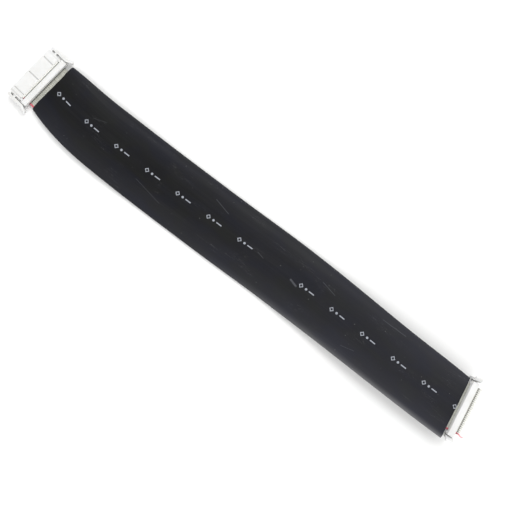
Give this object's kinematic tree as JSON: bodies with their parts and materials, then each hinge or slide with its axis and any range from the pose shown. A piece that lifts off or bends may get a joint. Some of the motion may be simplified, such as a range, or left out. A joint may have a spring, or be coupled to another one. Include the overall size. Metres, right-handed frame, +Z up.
{
  "type": "ribbon cable",
  "caption": "Flat ribbon cable in a black lay-flat heat-shrink sleeve, with a white two-row socket connector at each end.",
  "frame": {"origin": "centre of the bounding box, at the surface that the cable lies on", "axes": "+X along the cable from the lying connector to the standing one, +Y across it, +Z up from the surface"},
  "size_m": [0.2886, 0.0384, 0.0132],
  "materials": {
    "sleeve": "satin black polyolefin heat-shrink, lightly scuffed",
    "ribbon": "grey PVC with a red first wire",
    "copper": "tinned and bare copper strands",
    "white_plastic": "moulded white PBT, satin",
    "contact": "stamped and gold-flashed"
  },
  "bodies": {
    "root": {"heat_shrink_sleeve": "sleeve", "ribbon_insulation": "ribbon", "conductors": "copper", "left_socket_body": "white_plastic", "left_cover": "white_plastic", "left_contacts_outer_row": "contact", "left_contacts_inner_row": "contact", "right_socket_body": "white_plastic", "right_cover": "white_plastic", "right_contacts_outer_row": "contact", "right_contacts_inner_row": "contact"}
  },
  "joints": []
}
